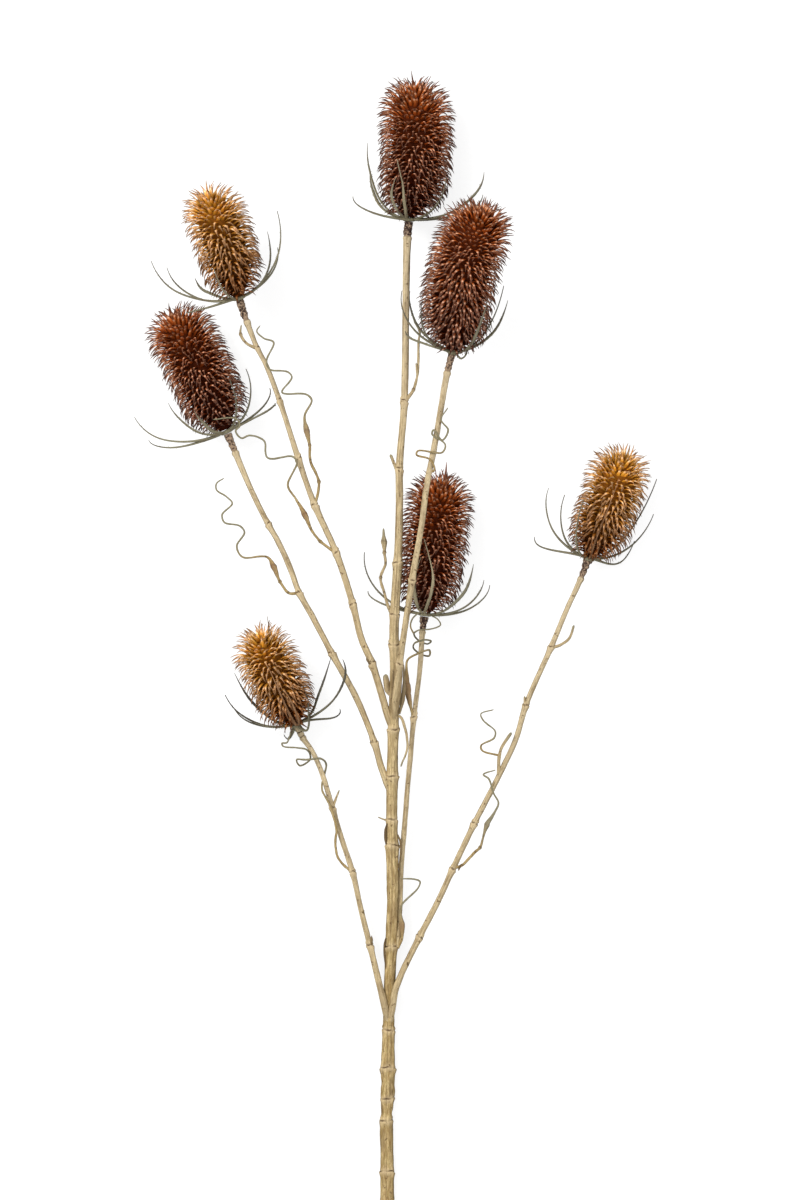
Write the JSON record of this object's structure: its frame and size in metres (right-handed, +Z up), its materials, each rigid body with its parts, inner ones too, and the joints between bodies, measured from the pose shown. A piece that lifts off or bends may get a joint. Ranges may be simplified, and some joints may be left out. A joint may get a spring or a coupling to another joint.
{
  "type": "teasel_spray",
  "caption": "Dried, cut teasel spray lying flat: a jointed, forked stem with curly tendrils, carrying spiny seed heads that each sit in a whorl of long curved bracts.",
  "frame": {"origin": "on the surface that the spray lies on, under the middle of its outline", "axes": "+Y from the cut foot towards the seed heads, +X to the right as seen from above, +Z up"},
  "size_m": [0.34, 0.7423, 0.0928],
  "materials": {
    "straw_stem": "dry straw-coloured stem, satin",
    "brown_spines": "dry red-brown spines, matt",
    "ochre_spines": "dry ochre spines, matt",
    "grey_bracts": "dry grey-green bracts, matt"
  },
  "bodies": {
    "root": {"stem": "straw_stem", "head_1": "brown_spines", "head_2": "brown_spines", "head_3": "ochre_spines", "head_4": "brown_spines", "head_5": "brown_spines", "head_6": "ochre_spines", "head_7": "ochre_spines", "bracts_1": "grey_bracts", "bracts_2": "grey_bracts", "bracts_3": "grey_bracts", "bracts_4": "grey_bracts", "bracts_5": "grey_bracts", "bracts_6": "grey_bracts", "bracts_7": "grey_bracts"}
  },
  "joints": []
}
